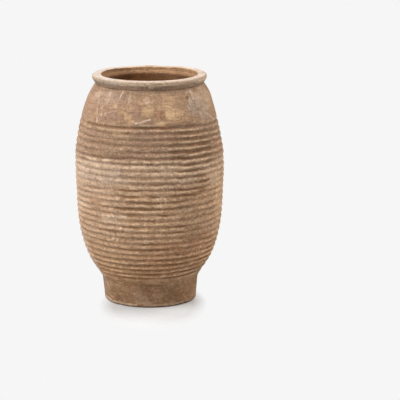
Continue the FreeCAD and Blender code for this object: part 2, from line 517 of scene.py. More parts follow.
umber_patches = (
    # Painted shadow under the rim, all round the neck
    (0, 0.722, all_round, 0.013, 0.22),
    (-64, 0.748, 18, 0.007, 0.12),
    # Painted contact shadow along the foot's bottom edge
    (0, 0.001, all_round, 0.0028, 0.9),
    (12.5, 0.654, 2.6, 0.013, 0.5),
    # Painted shade on the rim's rounded underside, in the next three patches
    (-43, 0.736, 30, 0.0075, 0.25),
    (50, 0.736, 24, 0.0075, 0.22),
    (4, 0.736, 18, 0.0065, 0.08),
    (0, 0.566, 13, 0.046, 0.16),
    (2, 0.665, 9, 0.036, 0.14),
    (6, 0.595, 7, 0.012, 0.25),
    (-36, 0.08, 12, 0.02, 0.25),
    (-20, 0.1, 6, 0.006, 0.2),
    (52, 0.05, 18, 0.014, 0.25),
    (27, 0.624, 12, 0.0075, 0.6),
    (39.5, 0.7, 2, 0.006, 0.6),
    (-3, 0.684, 1.5, 0.003, 0.6),
    (-22, 0.636, 2, 0.02, 0.3),
    (30, 0.621, 14, 0.006, 0.3),
    (38, 0.56, 22, 0.06, 0.08),
    (28, 0.603, 14, 0.008, 0.2),
    (-16, 0.598, 2, 0.005, 0.6),
    (-32, 0.594, 3, 0.004, 0.5),
    (-44, 0.52, 7, 0.006, 0.5),
    (0, 0.068, 9, 0.016, 0.25),
    (14, 0.068, 8, 0.012, 0.3),
    (38, 0.044, 9, 0.014, 0.45),
    # Painted shade under the rim's front
    (5, 0.725, 15, 0.005, 0.3),
    (-3.5, 0.751, 0.9, 0.0025, 0.6),
    (3.6, 0.751, 0.8, 0.003, 0.5),
    (10.5, 0.751, 2.4, 0.003, 0.4),
    (18.5, 0.7505, 1.8, 0.004, 0.5),
    (-1.5, 0.735, 1.8, 0.004, 0.7),
    (7, 0.7395, 0.9, 0.002, 0.7),
    (9, 0.7325, 5, 0.0035, 0.7),
    (24, 0.737, 6, 0.006, 0.4),
    (-2, 0.706, 11, 0.009, 0.33),
    (-43, 0.026, 5, 0.01, 0.5),
    (34, 0.392, 12, 0.012, 0.3),
    (31, 0.318, 4, 0.016, 0.25),
    (-24, 0.556, 5, 0.012, 0.3),
    (6, 0.604, 8, 0.01, 0.3),
    (-52, 0.427, 6, 0.006, 0.35),
    (-35, 0.15, 5, 0.014, 0.25),
    (-28, 0.616, 36, 0.008, 0.5),
    (-4, 0.618, 10, 0.01, 0.6),
    (43, 0.435, 6, 0.014, 0.35),
    (36, 0.402, 6, 0.008, 0.2),
    (-160, 0.05, 30, 0.03, 0.4),
    (160, 0.3, 30, 0.06, 0.3),
)
rust_patches = (
    (-72, 0.17, 8, 0.05, 0.4),
    (-72, 0.206, 6, 0.006, 0.5),
    (58, 0.225, 6, 0.03, 0.35),
    (55, 0.215, 3, 0.006, 0.5),
    (-49, 0.373, 5, 0.005, 0.6),
    (11.5, 0.392, 1.6, 0.003, 0.6),
    (-34, 0.335, 4, 0.006, 0.5),
    (-60, 0.314, 7, 0.005, 0.4),
    (12.5, 0.615, 5, 0.005, 0.45),
    (13.5, 0.655, 2, 0.012, 0.4),
    (8.5, 0.656, 2.2, 0.01, 0.5),
    (55, 0.07, 18, 0.03, 0.12),
    (20, 0.116, 28, 0.014, 0.4),
    (-25, 0.11, 10, 0.014, 0.3),
    (0, 0.003, 70, 0.0035, 0.5),
    (-15, 0.611, 4, 0.004, 0.25),
    (2, 0.128, 7, 0.008, 0.4),
    (20, 0.152, 4, 0.004, 0.6),
    (-20, 0.072, 3, 0.005, 0.5),
    (-52, 0.022, 4, 0.006, 0.6),
    (50, 0.014, 7, 0.005, 0.4),
    (72, 0.54, 6, 0.03, 0.4),
    (60, 0.05, 22, 0.04, 0.15),
    (32, 0.185, 42, 0.075, 0.4),
    (56, 0.446, 16, 0.012, 0.25),
    (110, 0.18, 14, 0.04, 0.5),
    (-110, 0.22, 16, 0.04, 0.5),
)
cream_patches = (
    (-66, 0.452, 16, 0.036, 0.3),
    (-40, 0.4, 14, 0.008, 0.3),
    (-49, 0.504, 6, 0.005, 0.45),
    (-33, 0.507, 3.5, 0.006, 0.5),
    (27, 0.47, 8, 0.026, 0.25),
    (27, 0.35, 8, 0.012, 0.3),
    (-66, 0.102, 8, 0.012, 0.35),
    (64, 0.096, 14, 0.014, 0.16),
    (70, 0.745, 14, 0.008, 0.6),
    (64, 0.69, 15, 0.036, 0.25),
    (12, 0.488, 4, 0.005, 0.5),
    (62, 0.436, 10, 0.022, 0.3),
    (-2, 0.243, 2.4, 0.008, 0.5),
    (-32, 0.314, 7, 0.01, 0.4),
    (-14, 0.281, 5, 0.003, 0.5),
    (-22, 0.29, 1.2, 0.004, 0.9),
    (-26, 0.25, 0.8, 0.004, 0.7),
    (-30, 0.251, 0.9, 0.003, 0.6),
    (7, 0.391, 1.4, 0.003, 0.6),
    (-44.5, 0.651, 1, 0.009, 0.6),
    (-46, 0.669, 1.2, 0.007, 0.5),
    (-31, 0.679, 2.2, 0.007, 0.4),
    (-41, 0.704, 2, 0.017, 0.35),
    (-18, 0.702, 1.5, 0.014, 0.45),
    (-57, 0.705, 5, 0.014, 0.25),
    (-1, 0.7, 4, 0.01, 0.3),
    (46.5, 0.706, 1.6, 0.015, 0.5),
    (50, 0.7, 1.4, 0.012, 0.4),
    (41, 0.688, 1.6, 0.012, 0.5),
    (43, 0.716, 3.5, 0.003, 0.4),
    (-70, 0.345, 7, 0.012, 0.5),
    (-68, 0.05, 10, 0.05, 0.15),
    (-10, 0.03, 9, 0.016, 0.15),
    (6, 0.752, 1.6, 0.0035, 0.6),
    (-7.5, 0.7465, 4, 0.0018, 0.7),
    (12, 0.747, 5.5, 0.0016, 0.6),
    (1.5, 0.741, 2, 0.004, 0.35),
    (0, 0.747, 24, 0.005, 0.6),
    (0, 0.365, 14, 0.04, 0.11),
    (-2, 0.015, 6, 0.008, 0.3),
    (28, 0.015, 7, 0.008, 0.15),
    (-42, 0.009, 30, 0.004, 0.55),
    (22, 0.009, 36, 0.004, 0.42),
    (-5, 0.489, 9, 0.006, 0.7),
    (14, 0.492, 9, 0.005, 0.4),
    (16, 0.48, 13, 0.006, 0.4),
    (-34, 0.45, 7, 0.01, 0.4),
    (-66, 0.011, 12, 0.006, 0.6),
    (-160, 0.45, 30, 0.03, 0.6),
    (100, 0.48, 24, 0.012, 0.5),
)
ash_patches = (
    (-76, 0.15, 14, 0.06, 0.8),
    (26, 0.75, 4.5, 0.0045, 0.8),
    (-62, 0.09, 11, 0.018, 0.25),
    (-68, 0.38, 18, 0.036, 0.4),
    (-76, 0.3, 12, 0.05, 0.4),
    (-76, 0.23, 10, 0.05, 0.6),
    (-45, 0.7, 22, 0.02, 0.3),
    (-45, 0.34, 26, 0.1, 0.2),
    (-45, 0.465, 30, 0.036, 0.5),
    (62, 0.672, 12, 0.045, 0.2),
    (-66, 0.48, 18, 0.014, 0.3),
    (-74, 0.54, 10, 0.04, 0.2),
    (150, 0.73, 40, 0.02, 0.4),
)
dust_patches = (
    (0, 0.76, all_round, 0.0016, 1),
    (-60, 0.748, 30, 0.006, 0.15),
)
chipped_patches = (
    (-180, 0.76, 7, 0.003, 0.6),
    (-150, 0.76, 3, 0.0016, 0.3),
)
# Stains in the order in which they lie on each other, with painted shade among the plum, slate and
# umber patches and a painted contact shadow: colour and patches
stains = {
    "ochre": (ochre, ochre_patches),
    "straw": (straw, straw_patches),
    "mauve": (mauve, mauve_patches),
    "plum": (plum, plum_patches),
    "slate": (slate, slate_patches),
    "umber": (umber, umber_patches),
    "rust": (rust, rust_patches),
    "cream": (cream, cream_patches),
    "ash": (ash, ash_patches),
    # Painted contact shadow where the foot meets the floor
    "painted_contact_shadow": (shadow_brown, ((0, 0.0005, all_round, 0.0029, 1),)),
    "dust": (dust, dust_patches),
    "frost": (frost, ((-80, 0.76, 46, 0.0016, 0.9),)),
    "chipped": (russet, chipped_patches),
}
# Darker patches of the inner wall: mostly painted shade, on its sides and in a band below the lip, and
# a few small stains
inner_shade_and_stains = (
    (-132, 0.735, 24, 0.05, 0.52),
    (-100, 0.74, 16, 0.05, 0.55),
    (112, 0.74, 36, 0.05, 0.44),
    (0, 0.737, all_round, 0.009, 0.15),
    (150, 0.743, 60, 0.008, 0.1),
    (-176, 0.742, 1.6, 0.004, 0.7),
    (170, 0.751, 12, 0.005, 0.25),
)
# Where the inner wall begins to be paler, and where it is fully so: deep down, as painted light
# against the shade inside, and at the lip
deep_painted_light_heights = (0.735, 0.700)
lip_heights = (0.746, 0.752)
# Share of the inner wall's own red
inside_share = 0.9
# Scratches: two ends as angle and height, half the width, strength
scratches = (
    (-10, 0.629, 3, 0.642, 0.0018, 0.6),
    (-9.5, 0.629, -8.5, 0.631, 0.0026, 0.8),
    (-7, 0.687, 5, 0.696, 0.0014, 0.3),
    (66, 0.634, 74, 0.621, 0.0016, 0.7),
    (60, 0.645, 66, 0.636, 0.0014, 0.5),
    (-26.5, 0.724, -28, 0.706, 0.0016, 0.8),
    (-52, 0.666, -48, 0.624, 0.002, 0.45),
    (-41, 0.652, -30, 0.665, 0.0014, 0.4),
    (46, 0.72, 58, 0.69, 0.0018, 0.4),
    (43, 0.696, 46, 0.662, 0.0022, 0.3),
    (38, 0.688, 39, 0.664, 0.002, 0.25),
    (50, 0.752, 57, 0.74, 0.0014, 0.6),
    (62, 0.752, 58, 0.742, 0.0014, 0.5),
    (68, 0.75, 74, 0.742, 0.0014, 0.5),
    (-30, 0.75, -24, 0.743, 0.0012, 0.4),
    (-3, 0.757, 2, 0.749, 0.0026, 0.8),
    (48, 0.668, 54, 0.63, 0.0014, 0.3),
    (-39, 0.326, -17, 0.329, 0.0018, 0.6),
    (6, 0.388, 11, 0.394, 0.0014, 0.6),
    (10, 0.398, 9.5, 0.352, 0.0012, 0.15),
    (4, 0.07, 7, 0.058, 0.0016, 0.4),
    (-39, 0.078, -30, 0.086, 0.0016, 0.35),
    (38, 0.088, 48, 0.08, 0.0016, 0.35),
    (-13, 0.082, -7, 0.09, 0.0014, 0.3),
    (120, 0.6, 128, 0.64, 0.0016, 0.7),
    (-140, 0.65, -128, 0.656, 0.0016, 0.7),
)
# Frayed edges of the scratches, and the gaps in them: size, share, random value at the gaps' edges
fray_size = 0.005
fray_share = 0.8
gap_size = 0.006
gap_span = (-0.5, 0.1)

# Lumps in the clay's colour: size, how much finer along each axis, fineness of the detail
broad_lumps = (0.110, (1, 1, 1), 4)
patchy_lumps = (0.034, (1, 1, 1.8), 5)
blotchy_lumps = (0.016, (1, 1, 1.5), 4)
streaky_lumps = (0.050, (1, 1, 7), 4)
runny_lumps = (0.090, (6, 6, 1), 3)
flecked_lumps = (0.0075, (1, 1, 1.4), 2)
grainy_lumps = (0.0045, (1, 1, 1), 3)
flaky_lumps = (0.009, (1, 1, 1.6), 4)
lump_roughness = 0.6
# How far broad lumps carry the tones up and down, as a share of the jar's height
tone_shift_share = 0.04
# Random values between which a colour comes in, with its shares at the two ends where it has them
mauve_span = (0.48, 0.66)
ochre_span = (0.50, 0.68)
stain_span = (0.30, 0.50, 0.6, 1)
dust_and_highlight_span = (0.30, 0.60, 0.3, 1)
shade_span = (0.33, 0.67)
# Pale and dark flecks: random values, crest's clearness with the shares at its two ends, colour
fleck_kinds = (
    ((0.56, 0.66), (0.3, 1, 0.07, 0.7), chaff),
    ((0.44, 0.34), (0.7, 0, 0.2, 0.6), umber),
)
# Shades of streaks, blotches and runs, from dark to pale
streak_shades = (0.85, 1.13)
blotch_shades = (0.88, 1.12)
run_shades = (0.94, 1.05)
# Clay of each slot: dust and painted highlight on its crests, dirt and painted shade in its grooves,
# mottling, coarseness, flaking
clay_finishes = {
    "foot_clay": (0.6, 0.6, 0.35, 0.10, 0.0),
    "ribbed_clay": (0.7, 0.75, 0.3, 0.22, 0.24),
    "shoulder_clay": (0.7, 0.75, 0.3, 0.14, 0.0),
    "rim_clay": (0.0, 0.0, 0.2, 0.12, 0.0),
}
clay_roughness = 0.9
clay_gloss = 0.2
# Bumps of the grain and of the blotches: height, strength
grain_bump = (0.0008, 0.7)
blotch_bump = (0.002, 0.5)

# Camera, whose frame is 400 by 400
frame_pixels = 400
film_width = 36
focal_pixels = 2151
camera_place = (0.1661, -7.0, 1.851)
camera_dip = math.radians(12.251)
# Light: turn from the jar's front, height above level and width in degrees, strength, colour
key_light = (-62, 39, 40, 2.76, (0.97, 1.0, 1.02))
fill_light = (100, 48, 40, 1.84, (1.03, 1.0, 0.96))
top_light = (-140, 60, 50, 1.7, (1.0, 1.0, 1.0))
sky_strength = 0.60
backdrop = (0.9216, 0.9216, 0.9216)
floor_colour = (0.54, 0.535, 0.53)
floor_bounce = (0.34, 0.335, 0.33)
floor_reach = 6.0
shadow_centre = (0.010, -0.104)
shadow_half_width = 0.180
shadow_half_depth = 0.322
shadow_full_share = 0.74


# Helpers for points


def smooth(low, high, value):
    """0 at low and 1 at high, with an even curve between. High may be less than low."""
    share = np.clip((value - low) / (high - low), 0, 1)
    return share * share * (3 - 2 * share)


noise_side = 48
noise_table = np.random.default_rng(11).random((noise_side,) * 3)


def noise(points, size, shift=0.0):
    """Smooth random value from -1 to 1 at each point, in lumps of a size."""
    spots = points / size + shift
    cells = np.floor(spots).astype(int)
    part = spots - cells
    part = part * part * (3 - 2 * part)
    total = 0
    for corner in product((0, 1), repeat=3):
        weight = np.where(corner, part, 1 - part).prod(axis=1)
        cell = (cells + corner) % noise_side
        total = total + weight * noise_table[cell[:, 0], cell[:, 1], cell[:, 2]]
    return 2 * total - 1


def around(points):
    return np.degrees(np.arctan2(points[:, 0], -points[:, 1]))


def turn_from(angle, angles):
    """Degrees from an angle to each of some others, from -180 to 180."""
    return (angles - angle + 180) % 360 - 180


def patches_on(points, patches, ragged):
    """Strength of the nearest of some patches at each point, with ragged edges."""
    angles, heights = around(points), points[:, 2]
    covered = np.zeros(len(points))
    for angle, height, half_width, half_height, strength in patches:
        away = np.hypot(turn_from(angle, angles) / half_width, (heights - height) / half_height)
        covered = np.maximum(covered, strength * smooth(*patch_edge_shares, away + ragged))
    return covered


def scratches_on(points, ragged):
    """Strength of the scratches at each point."""
    angles, heights = around(points), points[:, 2]
    arm = skin_radius(heights)
    covered = np.zeros(len(points))
    for first_angle, first_height, last_angle, last_height, half_width, strength in scratches:
        along = np.radians(turn_from(first_angle, angles)) * arm
        up = heights - first_height
        length = math.radians(last_angle - first_angle) * arm
        rise = last_height - first_height
        share = np.clip((along * length + up * rise) / (length**2 + rise**2), 0, 1)
        away = np.hypot(along - share * length, up - share * rise)
        edge = smooth(*scratch_edge_shares, away / half_width + ragged)
        covered = np.maximum(covered, strength * edge)
    return covered


# The jar's section


def foot_radius(height):
    return base_radius + (foot_top_radius - base_radius) * height / foot_height


def cove_share(height):
    """How far up the neck's cove a height is, as a share of the cove."""
    return np.clip((height - neck_height + neck_cove_height) / neck_cove_height, 0, 1)


def skin_shares(height):
    """How far a height is up the shoulder and down the haunch, as shares of each."""
    above = np.clip((height - belly_height) / shoulder_rise, 0, 1)
    return above, np.clip((belly_height - height) / haunch_rise, 0, 1)


def skin_radius(height):
    """Outer radius of the smooth skin, before ribs."""
    above, below = skin_shares(height)
    fall = shoulder_fall * above**shoulder_power + haunch_fall * below**haunch_power
    fall = fall + neck_cove_depth * cove_share(height) ** 2
    return np.where(height < foot_height, foot_radius(height), belly_radius - fall)


def skin_slope(height):
    """Change of the skin's radius with height."""
    above, below = skin_shares(height)
    falling = -shoulder_fall * shoulder_power / shoulder_rise * above ** (shoulder_power - 1)
    falling = falling - 2 * neck_cove_depth / neck_cove_height * cove_share(height)
    rising = haunch_fall * haunch_power / haunch_rise * below ** (haunch_power - 1)
    plain = (foot_top_radius - base_radius) / foot_height
    return np.where(height < foot_height, plain, falling + rising)


walked_heights = np.linspace(foot_height, neck_height, 2001)
walked_steps = np.hypot(np.diff(walked_heights), np.diff(skin_radius(walked_heights)))
walked_lengths = np.concatenate([[0], np.cumsum(walked_steps)])
ribs_start, ribs_end = np.interp([rib_zone_bottom, rib_zone_top], walked_heights, walked_lengths)
rib_pitch = (ribs_end - ribs_start) / rib_count


def rib_height(ribs):
    """Height of the place that is so many rib pitches above the lowest groove."""
    return float(np.interp(ribs_start + rib_pitch * ribs, walked_lengths, walked_heights))


def ribs_at(height):
    """How many rib pitches a height lies above the lowest groove."""
    return (np.interp(height, walked_heights, walked_lengths) - ribs_start) / rib_pitch


def skin_point(height):
    return float(skin_radius(height)), height


def inner_radius(height):
    """Radius of the inner wall, where it is as thick square to the skin all the way up."""
    height = min(height, neck_height)
    tilt = 1 if height < foot_height else math.hypot(1, float(skin_slope(height)))
    return float(skin_radius(height)) - wall_thickness * tilt


def inner_point(height):
    """Point of the inner wall, with the potter's finger marks."""
    mark = finger_depth * math.sin(math.pi * height / finger_pitch) ** 2
    return inner_radius(height) - mark, height


def even(start, end, steps):
    """Values from start to end in even steps, both included."""
    return [start + (end - start) * i / steps for i in range(steps + 1)]


def straight(start, end, row):
    """Points from start to end, about a row apart, without the last one."""
    count = max(1, round(math.dist(start, end) / row))
    return list(zip(even(start[0], end[0], count), even(start[1], end[1], count)))[:-1]


def rounded(start, end, tangent):
    """Points of the arc that leaves start along the tangent, without the last one."""
    chord = complex(end[0] - start[0], end[1] - start[1])
    along = complex(*tangent) / abs(complex(*tangent))
    turn = math.atan2((chord / along).imag, (chord / along).real)
    points = []
    for i in range(round_rows):
        part = turn * i / round_rows
        reach = abs(chord) * math.sin(part) / math.sin(turn)
        spot = complex(*start) + reach * along * complex(math.cos(part), math.sin(part))
        points.append((spot.real, spot.imag))
    return points


def up_skin(low, high, row):
    """Points up the skin from one height to another, without the last one."""
    count = max(1, round((high - low) / row))
    return [skin_point(height) for height in even(low, high, count)[:-1]]


def up_ribs(first, last):
    """Points up the skin from one rib pitch to another, both included."""
    rows = round((last - first) * rows_per_rib)
    return [skin_point(rib_height(ribs)) for ribs in even(first, last, rows)]


def down_inner_wall(high, low):
    """Points down the inner wall, both ends included."""
    count = max(1, round((high - low) / inner_row))
    return [inner_point(height) for height in even(high, low, count)]


class Seam:
    """Stepped joint between a piece and the one that stands on it."""

    def __init__(self, height, radius, sunk=0.0):
        self.outer = (radius, height)
        self.low = height
        self.high = height + lap_height
        self.step = radius - sunk - (radius - sunk - inner_radius(height)) * lap_wall_share

    def top_of_lower(self):
        return [(self.step - slip_gap, self.low), (self.step - slip_gap, self.high)]

    def foot_of_upper(self):
        return [(self.step, self.high), (self.step, self.low)]


def stage_seam(stage):
    height = rib_height(sum(stage_ribs[:stage]))
    return Seam(height, float(skin_radius(height)), groove_sinking)


def floor_seam():
    height = floor_thickness - lap_height
    return Seam(height, foot_radius(height))


def neck_seam():
    return Seam(neck_height, neck_radius)


# Outlines of the pieces' sections, each round from its lowest outer point


def base_disc_outline():
    """Section of the floor slab, from the axis below to the axis above."""
    seam = floor_seam()
    edge_start = (base_radius - base_edge_round, 0)
    edge_end = (foot_radius(base_edge_round), base_edge_round)
    step = seam.step - slip_gap
    return [
        *straight((0, 0), edge_start, inner_row),
        *rounded(edge_start, edge_end, (1, 0)),
        *straight(edge_end, seam.outer, skin_row),
        seam.outer,
        (step, seam.low),
        *straight((step, floor_thickness), (0, floor_thickness), inner_row),
        (0, floor_thickness),
    ]


def foot_band_outline():
    """Section of the plain foot, up to the lowest groove."""
    below, above = floor_seam(), stage_seam(0)
    blend_height = foot_height - foot_corner_blend
    blend_start = (foot_radius(blend_height), blend_height)
    blend_top = foot_height + foot_corner_blend
    up_foot = (foot_top_radius - base_radius, foot_height)
    flare_top = rib_height(-1 / 2)
    inner_corner = (foot_radius(foot_height) - wall_thickness, foot_height)
    cove_height = floor_thickness + floor_cove
    cove_top = (foot_radius(cove_height) - wall_thickness, cove_height)
    cove_foot = (cove_top[0] - floor_cove, floor_thickness)
    return [
        *straight(below.outer, blend_start, skin_row),
        *rounded(blend_start, skin_point(blend_top), up_foot),
        *up_skin(blend_top, flare_top, skin_row),
        *up_ribs(-1 / 2, 0),
        *above.top_of_lower(),
        *straight(inner_point(above.high), inner_corner, inner_row),
        *straight(inner_corner, cove_top, inner_row),
        *rounded(cove_top, cove_foot, (0, -1)),
        cove_foot,
        (below.step, floor_thickness),
        (below.step, below.low),
    ]


def belly_stage_outline(stage):
    """Section of one thrown ring of the ribbed belly."""
    below, above = stage_seam(stage), stage_seam(stage + 1)
    return [
        *up_ribs(sum(stage_ribs[:stage]), sum(stage_ribs[: stage + 1])),
        *above.top_of_lower(),
        *down_inner_wall(above.high, below.high),
        *below.foot_of_upper(),
    ]


def shoulder_band_outline():
    """Section of the plain shoulder, from the top groove to the neck."""
    below, above = stage_seam(len(stage_ribs)), neck_seam()
    return [
        *up_ribs(rib_count, rib_count + 1 / 2),
        *up_skin(rib_height(rib_count + 1 / 2), neck_height, skin_row)[1:],
        above.outer,
        *above.top_of_lower(),
        *down_inner_wall(above.high, below.high),
        *below.foot_of_upper(),
    ]


def rim_collar_outline():
    """Section of the rolled rim, with its flat top."""
    below = neck_seam()
    face_foot = (rim_outer_radius, neck_height + rim_under_round)
    face_top = (rim_outer_radius, total_height - rim_edge_round)
    top_outer = (rim_outer_radius - rim_edge_round, total_height)
    top_inner = (mouth_radius + lip_round, total_height)
    lip = (mouth_radius, total_height - lip_round)
    under = rounded(face_foot, below.outer, (0, -1))
    return [
        below.outer,
        *under[:0:-1],
        *straight(face_foot, face_top, skin_row),
        *rounded(face_top, top_outer, (0, 1)),
        *straight(top_outer, top_inner, skin_row),
        *rounded(top_inner, lip, (-1, 0)),
        *straight(lip, inner_point(below.high), skin_row),
        inner_point(below.high),
        *below.foot_of_upper(),
    ]


# Turning, shaping and staining a piece, with painted light and shade


def turned(name, outline, closed=True):
    """Piece turned about the jar's axis from the outline of its section."""
    start = outline[0]
    bpy.ops.object.select_all(action="DESELECT")
    bpy.ops.mesh.primitive_plane_add(size=skin_row, location=(start[0], 0, start[1]))
    piece = bpy.context.object
    piece.name = piece.data.name = name
    bpy.ops.object.transform_apply()
    bpy.ops.object.mode_set(mode="EDIT")
    bpy.ops.mesh.select_all(action="SELECT")
    bpy.ops.mesh.merge(type="CENTER")
    ends = outline[1:] + outline[:1] if closed else outline[1:]
    for before, after in zip(outline, ends):
        step = (after[0] - before[0], 0, after[1] - before[1])
        bpy.ops.mesh.extrude_vertices_move(TRANSFORM_OT_translate={"value": step})
    bpy.ops.mesh.select_all(action="SELECT")
    bpy.ops.mesh.remove_doubles(threshold=merge_distance)
    bpy.ops.object.mode_set(mode="OBJECT")
    screw = piece.modifiers.new("turn", "SCREW")
    screw.steps = screw.render_steps = turn_steps
    screw.use_merge_vertices = True
    screw.merge_threshold = merge_distance
    bpy.ops.object.modifier_apply(modifier=screw.name)
    bpy.ops.object.mode_set(mode="EDIT")
    bpy.ops.mesh.select_all(action="SELECT")
    bpy.ops.mesh.remove_doubles(threshold=merge_distance)
    bpy.ops.mesh.normals_make_consistent(inside=False)
    bpy.ops.object.mode_set(mode="OBJECT")
    return piece


def read(piece, what):
    """Places or normals of a piece's vertices, one row each."""
    flat = np.zeros(len(piece.data.vertices) * 3)
    piece.data.vertices.foreach_get(what, flat)
    return flat.reshape(-1, 3)


def outwards(points):
    """Direction square to the smooth skin at each point."""
    radius = np.hypot(points[:, 0], points[:, 1]) + merge_distance
    slope = skin_slope(points[:, 2])
    tilt = np.hypot(1, slope)
    across = points[:, :2] / radius[:, None] / tilt[:, None]
    return np.column_stack([across, -slope / tilt])


def marked(points, ribs):
    """How much paler than the rest the marks, partly painted highlight and shade, make the ribs at
    each point.
    """
    angles = around(points)
    paler = np.zeros(len(points))
    for angle, half_width, rib, strength in rib_marks_and_painted_light:
        reach = crest_reach_share if rib % 1 else groove_reach_share
        away = np.hypot(turn_from(angle, angles) / half_width, (ribs - rib) / reach)
        paler += strength * smooth(*mark_edge_shares, away)
    return paler


def among_ribs(ribs, end, full):
    """1 among the ribs and 0 past them, where it fades between two shares of the pitch."""
    return smooth(-end, -full, ribs) * smooth(rib_count + end, rib_count + full, ribs)


def rib_relief(points):
    """How far the ribs stand from the smooth skin, and how pale each point is, 1 on a crest, partly as
    painted highlight on crests and painted shade in grooves.
    """
    ribs = ribs_at(points[:, 2]) + slip_share * noise(points * along_ribs, slip_size, 17)
    inside = (ribs > 0) & (ribs < rib_count)
    ragged = worn_edge_share * noise(points, worn_edge_size, 3)
    share = np.clip(ribs / rib_count, 0, 1)
    sharp = patches_on(points, sharp_ribs, ragged)
    sharpness = low_sharpness + (high_sharpness - low_sharpness) * share
    sharpness = sharpness + (sharp_sharpness - sharpness) * sharp
    crest = np.abs(np.sin(math.pi * ribs)) ** sharpness
    worn = patches_on(points, worn_ribs, ragged)
    left = 1 - worn_share * worn
    dashes = noise(points * along_ribs, long_dash_size, 13)
    broken = noise(points * along_ribs, short_dash_size, 23) * patches_on(points, battered_ribs, 0)
    depth = least_depth_share + depth_share * noise(points, depth_size, 9)
    depth = left * (depth + dash_depth_share * dashes + sharp_depth_share * sharp)
    chips = smooth(*chip_span, noise(points, chip_size, 21)) * smooth(*chip_crest_shares, crest)
    raised = rib_standing * inside * crest * (1 - worn_share * chips)
    sunk = groove_sinking * among_ribs(ribs, last_dip_share, 0) * (1 - crest)
    # Painted highlight and shade: how strongly crests are painted pale and grooves dark, by angle
    # around the jar
    clear = np.interp(around(points), *zip(*rib_shade_contrast))
    clear = clear * (1 + dash_clear_share * dashes + broken) + sharp_clear_share * sharp
    clear = clear * left * among_ribs(ribs, last_tint_share, last_dip_share)
    paler = 0.5 + (crest - 0.5) * clear + mark_share * marked(points, ribs) + broken_share * broken
    return (raised - sunk) * depth, paler


def hand_shaped(piece):
    """Shapes a turned piece as hands and wear have left it.

    Returns its places before that, how far inside the jar each is, and how pale its rib is.
    """
    points = read(piece, "co")
    heights = points[:, 2]
    radius = np.hypot(points[:, 0], points[:, 1])
    outer = radius > skin_radius(heights) - wall_thickness / 4
    relief, crest = rib_relief(points)
    rough = sum(high * noise(points, size, size) for size, high in (lumps, grit, sand))
    rim = smooth(neck_height, neck_height + lap_height, heights)
    ragged = chip_edge_share * noise(points, chip_edge_size, 5)
    rim_loss = rim_chip_depth * patches_on(points, rim_chips, ragged) * rim
    foot_loss = foot_chip_depth * patches_on(points, foot_chips, ragged)
    pushed = np.where(outer, relief * (1 - rim) + rough - foot_loss, rough / 2) - rim_loss
    direction = np.where(rim[:, None] > 0, read(piece, "normal"), outwards(points))
    moved = direction * pushed[:, None]
    sway_size, sway_height = sway
    moved += sway_height * np.column_stack([noise(points, sway_size, i) for i in range(3)])
    wander_size, wander_height = rib_wander
    below_rim = smooth(total_height, neck_height, heights)
    wander = wander_height * noise(points, wander_size, 7) * below_rim
    tilt_heights, left_rises, right_rises = zip(*tilts)
    left = np.interp(heights, tilt_heights, left_rises)
    right = np.interp(heights, tilt_heights, right_rises)
    side = points[:, 0] / (radius + merge_distance)
    rises = np.where(side < 0, left, right) * side**2 - patches_on(points, dips, 0)
    moved[:, 2] += wander + np.interp(heights, *zip(*drifts)) + rises
    moved[:, 2] *= smooth(0, still_height, heights)
    moved[:, 0] += np.interp(heights, *zip(*leans))
    slid = rises * skin_slope(heights) * smooth(neck_height, rib_zone_top, heights)
    swollen = np.interp(heights, *zip(*swells)) + slid
    moved[:, :2] += outwards(points)[:, :2] * swollen[:, None]
    piece.data.vertices.foreach_set("co", (points + moved).ravel())
    piece.data.update()
    lip = smooth(mouth_radius + lip_round, mouth_radius, radius)
    inside = np.where(heights > neck_height, lip, 1.0 - outer)
    return points, inside, np.where(outer, crest, 0.5)


def keep(piece, name, values):
    """Keeps a value for each vertex, for the clay's materials to read."""
    layer = piece.data.attributes.new(name, "FLOAT", "POINT")
    layer.data.foreach_set("value", values.astype(np.float32))


def keep_stains_and_painted_light(piece, points, inside, crest):
    """Keeps how strongly each stain and mark, and each painted shade and light, covers a piece."""
    ragged = sum(share * noise(points, size, shift) for size, share, shift in stain_edges)
    keep(piece, "crest", crest)
    keep(piece, "battered", patches_on(points, battered_ribs, 0))
    keep(piece, "inside", inside)
    for name, (_, patches) in stains.items():
        keep(piece, name, patches_on(points, patches, ragged) * (1 - inside))
    keep(piece, "inner_shade_and_stain", patches_on(points, inner_shade_and_stains, ragged) * inside)
    pale = smooth(*deep_painted_light_heights, points[:, 2]) + smooth(*lip_heights, points[:, 2])
    keep(piece, "inner_pale_and_painted_light", pale * inside)
    scratched = scratches_on(points, fray_share * noise(points, fray_size, 6))
    scratched = scratched * smooth(*gap_span, noise(points, gap_size, 12))
    keep(piece, "scratch", scratched * (1 - inside))


# Clay


def add(tree, kind, settings=None, **inputs):
    """Adds a node with its settings, and sets or links its inputs by name or number."""
    node = tree.nodes.new(kind)
    for name, value in (settings or {}).items():
        setattr(node, name, value)
    for name, value in inputs.items():
        key = int(name[1:]) if name[1:].isdigit() else name.replace("_", " ")
        if isinstance(value, bpy.types.NodeSocket):
            tree.links.new(value, node.inputs[key])
        else:
            node.inputs[key].default_value = value
    return node


def blend(tree, share, first, second, how="MIX"):
    """Colour between two others, or one laid on the other."""
    node = tree.nodes.new("ShaderNodeMix")
    node.data_type = "RGBA"
    node.blend_type = how
    for index, value in ((0, share), (6, first), (7, second)):
        if isinstance(value, bpy.types.NodeSocket):
            tree.links.new(value, node.inputs[index])
        else:
            node.inputs[index].default_value = value if index == 0 else (*value, 1)
    return node.outputs[2]


def reckon(tree, how, first, second, third=0.0):
    """Result of one step of arithmetic."""
    return add(tree, "ShaderNodeMath", {"operation": how}, _0=first, _1=second, _2=third).outputs[0]


def times(tree, first, second):
    return reckon(tree, "MULTIPLY", first, second)


